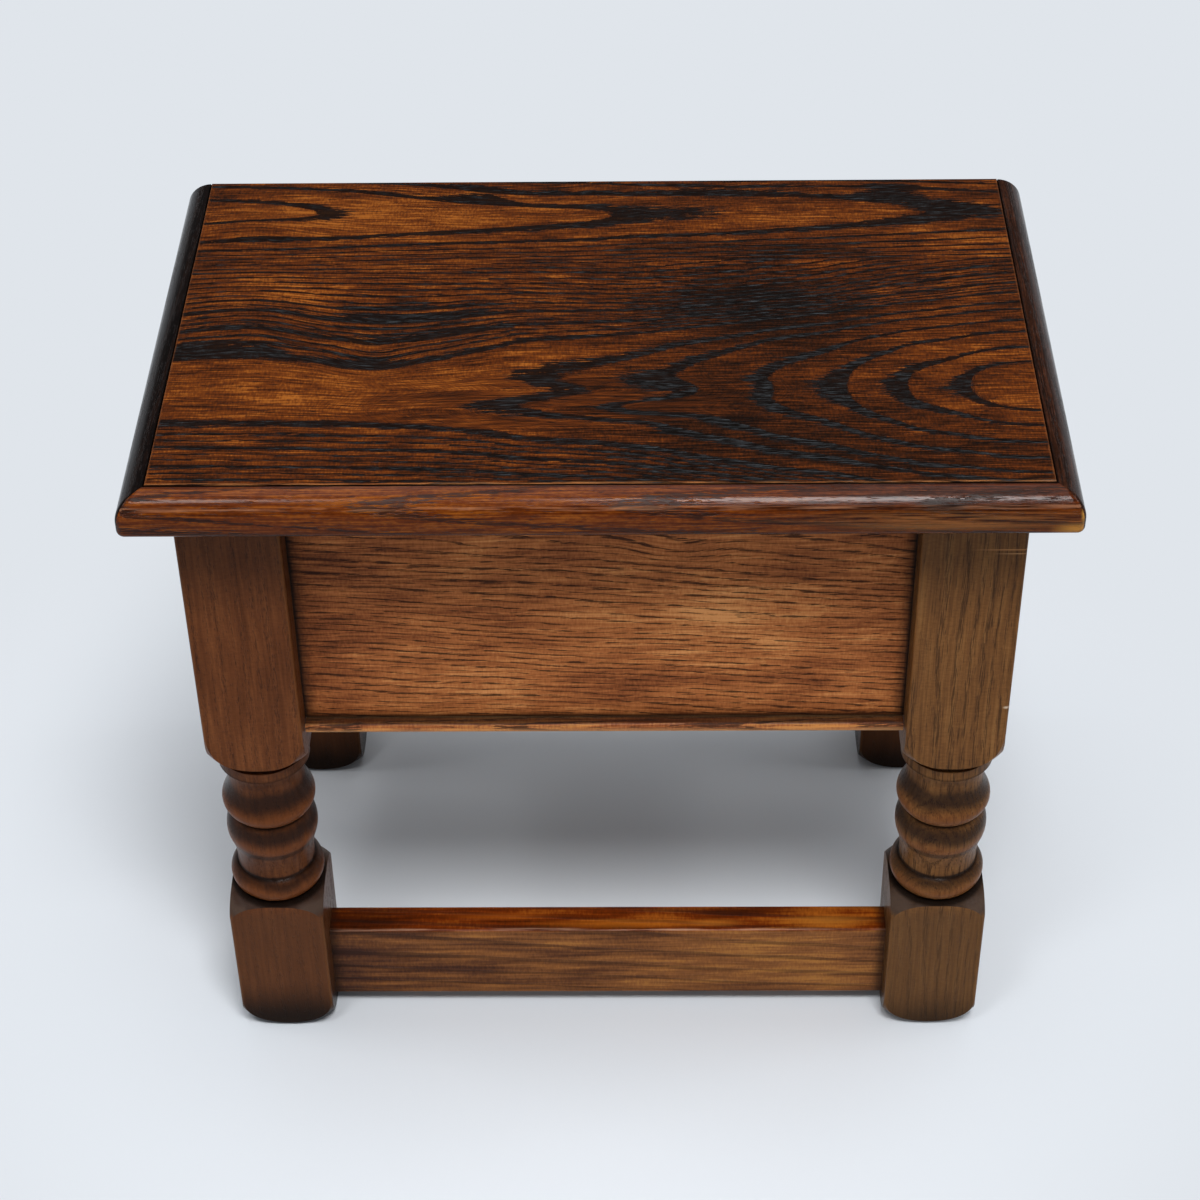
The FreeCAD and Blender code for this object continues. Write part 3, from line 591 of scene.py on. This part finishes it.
def legLook(node):
    stock = legStock.get(node, legStock["common"])
    low, high = corners(node)
    centre = [(low[i] + high[i]) / 2 for i in (0, 1)]
    half = (high[0] - low[0]) / 2
    look = {
        **stock["wood"], "run": (2, 0, 1), "taper": 0.01, "wander": 6, "toneSpread": (0.05, 0.95),
        "roughness": (0.28, 0.5), "specular": 0.06, "marks": stock["marks"],
        "arris": {"centre": centre, "from": half - 1.6, "to": half, "stray": 2,
                  "colour": "8a5a28", "amount": 0.3},
    }
    if centre[1] > 0:
        look["toneSpread"] = (0.2, 1.25)   # painted shade: the back legs are darker, standing in the shadow under the box
    zones = [
        # stain of the lower block, and on its shoulders a painted grey sheen with lighter painted highlights
        {"axis": "Z", "rise": (100, 88), "colour": stock["blockStain"], "amount": 0.55},
        {"axis": "Z", "rise": (84, 86), "fall": (99, 100), "facing": (0.25, 0.6),
         "colour": "2e2521", "amount": 0.85},
        {"axis": "Z", "rise": (84, 86), "fall": (95, 98), "facing": (0.3, 0.7), "stray": 12,
         "colour": "5a4a40", "amount": 0.5},
        # darker at the foot and along the turned part, and a painted shadow under the lid
        {"axis": "Z", "rise": stock["footDarkening"], "stray": 10, "colour": "0c0906", "amount": 0.9},
        {"axis": "Z", "rise": (96, 102), "fall": (198, 206),
         "colour": "1c1310", "amount": stock["turnedDarkening"]},
        # painted shadow of the lid over the top of the leg
        {"axis": "Z", "rise": (290, 385), "stray": 30, "colour": "2a1d15", "amount": 0.42},
        {**darkRim, "amount": 0.5},
    ]
    begin, full = bandEdge
    for band in (turnedRub, turnedWaxAndShade):
        for bottom, top in band["levels"]:
            zones.append({"axis": "Z", "rise": (bottom + begin, bottom + full),
                          "fall": (top - full, top - begin), "stray": 10,
                          "colour": band["colour"], "amount": band["amount"]})
    for level, reach, amount in quirkShade["levels"]:
        zones.append({"axis": "Z", "centre": level, "mirror": True,
                      "rise": (reach, quirkShade["core"] * reach),
                      "colour": quirkShade["colour"], "amount": amount})
    return {**look, "zones": zones}


finishes = {
    "lid_front_plank": ("flatSawnOakFront", frontPlank),
    "lid_back_plank": ("flatSawnOakBack", backPlank),
    "lid_front_moulding": ("polishedOakFront", frontMoulding),
    "lid_left_moulding": ("polishedOakLeft", shadedLeftMoulding),
    "lid_right_moulding": ("polishedOakRight", shadedRightMoulding),
    "front_board": ("waxedOakFront", frontBoard),
    "back_board": ("waxedOakBack", backBoard),
    "left_board": ("waxedOakLeft", sideBoard),
    "right_board": ("waxedOakRight", sideBoard),
    "bottom_board": ("waxedOakBottom", bottomBoard),
    "front_stretcher": ("rubbedOakStretcher", stretcher),
}
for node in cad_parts:
    if node.endswith("_leg"):
        finishes[node] = ("turnedOak_" + node, legLook(node))


def dress(node, material):
    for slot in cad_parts[node].material_slots:
        slot.material = material


for node, (name, look) in finishes.items():
    dress(node, oakMaterial(name, **look))
print("oak on", len(finishes), "pieces")

# hinges: cast brass gone brown. Screws: blued steel
metals = {
    "hinge": {"name": "dulledBrass", "colours": ("4a3820", "7d6236", "a08449"), "roughness": (0.35, 0.6)},
    "screw": {"name": "bluedSteel", "colours": ("1e1c1a", "35322f", "57524c"), "roughness": (0.4, 0.65)},
}
tarnishLook = {"size": 5, "spread": (0.32, 0.68)}          # mm, and noise levels of dark and light
gritLook = {"size": 0.8, "depth": 0.1, "strength": 0.25}   # mm


# old metal: tarnish in clouds a few mm wide, duller where it is darker, over a fine grit
def metalMaterial(look):
    material, tree = newTree(look["name"])
    place = addNode(tree, "TexCoord", take="Object")
    tarnish = addNode(tree, "TexNoise", {"Vector": place, "Scale": 1 / (tarnishLook["size"] * mm),
                                         "Detail": 6.0})
    spread = addNode(tree, "MapRange", {"Value": tarnish, "From Min": tarnishLook["spread"][0],
                                        "From Max": tarnishLook["spread"][1]})
    stops = [(i / (len(look["colours"]) - 1), shade) for i, shade in enumerate(look["colours"])]
    colour = addNode(tree, "ValToRGB", {0: spread}, stops=stops)
    rough = addNode(tree, "MapRange", {"Value": spread, "To Min": look["roughness"][1],
                                       "To Max": look["roughness"][0]})
    grit = addNode(tree, "TexNoise", {"Vector": place, "Scale": 1 / (gritLook["size"] * mm), "Detail": 2.0})
    normal = addNode(tree, "Bump", {"Strength": gritLook["strength"], "Distance": gritLook["depth"] * mm,
                                    "Height": grit})
    shader = addNode(tree, "BsdfPrincipled", {"Base Color": colour, "Roughness": rough, "Normal": normal,
                                              "Metallic": 1.0})
    addNode(tree, "OutputMaterial", {"Surface": shader})
    return material


brass = metalMaterial(metals["hinge"])
steel = metalMaterial(metals["screw"])
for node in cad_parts:
    if "screws" in node:
        dress(node, steel)
    elif "hinge" in node:
        dress(node, brass)
print("metal on hinges and screws")

# floor: plain pale board, its far part the flat background tone
floorLook = {
    "half": 40.0, "colour": "e0e5eb",
    "middle": (-0.03, 0.02),             # m, of the part that shows the shadow
    "fadeFrom": 0.2, "fadeTo": 0.48,     # m from there, where it turns into the flat tone
}


def makeFloor():
    shape = bmesh.new()
    bmesh.ops.create_grid(shape, x_segments=1, y_segments=1, size=floorLook["half"])
    mesh = bpy.data.meshes.new("floor")
    shape.to_mesh(mesh)
    shape.free()
    floor = bpy.data.objects.new("floor", mesh)
    bpy.context.scene.collection.objects.link(floor)
    material, tree = newTree("paleFloor")
    place = addNode(tree, "TexCoord", take="Object")
    away = addNode(tree, "VectorMath", {0: place, 1: (*floorLook["middle"], 0)}, take="Value",
                   operation="DISTANCE")
    fade = addNode(tree, "MapRange", {"Value": away, "From Min": floorLook["fadeFrom"],
                                      "From Max": floorLook["fadeTo"]}, interpolation_type="SMOOTHSTEP")
    seen = addNode(tree, "LightPath").node.outputs
    shown = addNode(tree, "Math", {0: seen["Is Camera Ray"], 1: seen["Is Glossy Ray"]}, operation="MAXIMUM")
    shown = addNode(tree, "Math", {0: shown, 1: seen["Is Transmission Ray"]}, operation="MAXIMUM")
    fade = addNode(tree, "Math", {0: fade, 1: shown}, operation="MULTIPLY")
    lit = addNode(tree, "BsdfDiffuse", {"Color": linear(floorLook["colour"])})
    flat = addNode(tree, "Emission", {"Color": linear(floorLook["colour"]), "Strength": 1.0})
    both = addNode(tree, "MixShader", {0: fade, 1: lit, 2: flat})
    addNode(tree, "OutputMaterial", {"Surface": both})
    mesh.materials.append(material)


makeFloor()

# light: softboxes over the front, at both sides and overhead, in a room with pale walls and a dim ceiling
lightLook = {
    "walls": 1.0, "ceiling": 0.26,
    "wallTop": (0.03, 0.22),             # sines of the heights where the walls fade into the ceiling
    "softboxes": {                       # m and W
        "key": {"at": (0.3, -1.1, 2.3), "size": 0.6, "power": 34},
        "frontLeft": {"at": (-0.6, -0.9, 2.2), "size": 0.4, "power": 9},
        "left": {"at": (-1.4, 0.1, 1.7), "size": 0.5, "power": 5},
        "right": {"at": (1.4, 0.1, 1.7), "size": 0.5, "power": 5},
        "overhead": {"at": (0.1, 0.3, 2.4), "size": 1.6, "power": 18},
    },
    "aim": (0, 0, 0.2),
}


def lightRoom():
    world = bpy.data.worlds.new("paleRoom")
    world.use_nodes = True
    tree = world.node_tree
    tree.nodes.clear()
    way = addNode(tree, "TexCoord", take="Generated")
    height = addNode(tree, "SeparateXYZ", {0: way}, take="Z")
    strength = addNode(tree, "MapRange", {"Value": height, "From Min": lightLook["wallTop"][0],
                                          "From Max": lightLook["wallTop"][1], "To Min": lightLook["walls"],
                                          "To Max": lightLook["ceiling"]}, interpolation_type="SMOOTHSTEP")
    sky = addNode(tree, "Background", {"Color": linear(floorLook["colour"]), "Strength": strength})
    addNode(tree, "OutputWorld", {"Surface": sky})
    bpy.context.scene.world = world
    for name, look in lightLook["softboxes"].items():
        lamp = bpy.data.lights.new(name, "AREA")
        lamp.size = look["size"]
        lamp.energy = look["power"]
        lampObject = bpy.data.objects.new(name, lamp)
        lampObject.location = look["at"]
        aim = Vector(lightLook["aim"]) - Vector(look["at"])
        lampObject.rotation_euler = aim.to_track_quat("-Z", "Y").to_euler()
        bpy.context.scene.collection.objects.link(lampObject)


lightRoom()

# camera: stands over the front of the box and looks down on it
cameraLook = {
    "at": (18.87, -1137.04, 1178.86),    # mm
    "yaw": -1.102, "pitch": 40.141, "roll": -0.939,   # degrees
    "lens": 80.41, "sensor": 36.0,       # mm
}


def placeCamera():
    camera = bpy.data.cameras.new("camera")
    camera.lens = cameraLook["lens"]
    camera.sensor_width = cameraLook["sensor"]
    cameraObject = bpy.data.objects.new("camera", camera)
    turn = Matrix.Rotation(math.radians(-cameraLook["yaw"]), 4, "Z")
    tilt = Matrix.Rotation(math.radians(90 - cameraLook["pitch"]), 4, "X")
    lean = Matrix.Rotation(math.radians(cameraLook["roll"]), 4, "Z")
    cameraObject.matrix_world = Matrix.Translation(Vector(cameraLook["at"]) * mm) @ turn @ tilt @ lean
    bpy.context.scene.collection.objects.link(cameraObject)
    bpy.context.scene.camera = cameraObject


placeCamera()
bpy.context.scene.view_settings.view_transform = "Standard"
print("floor, light and camera set")
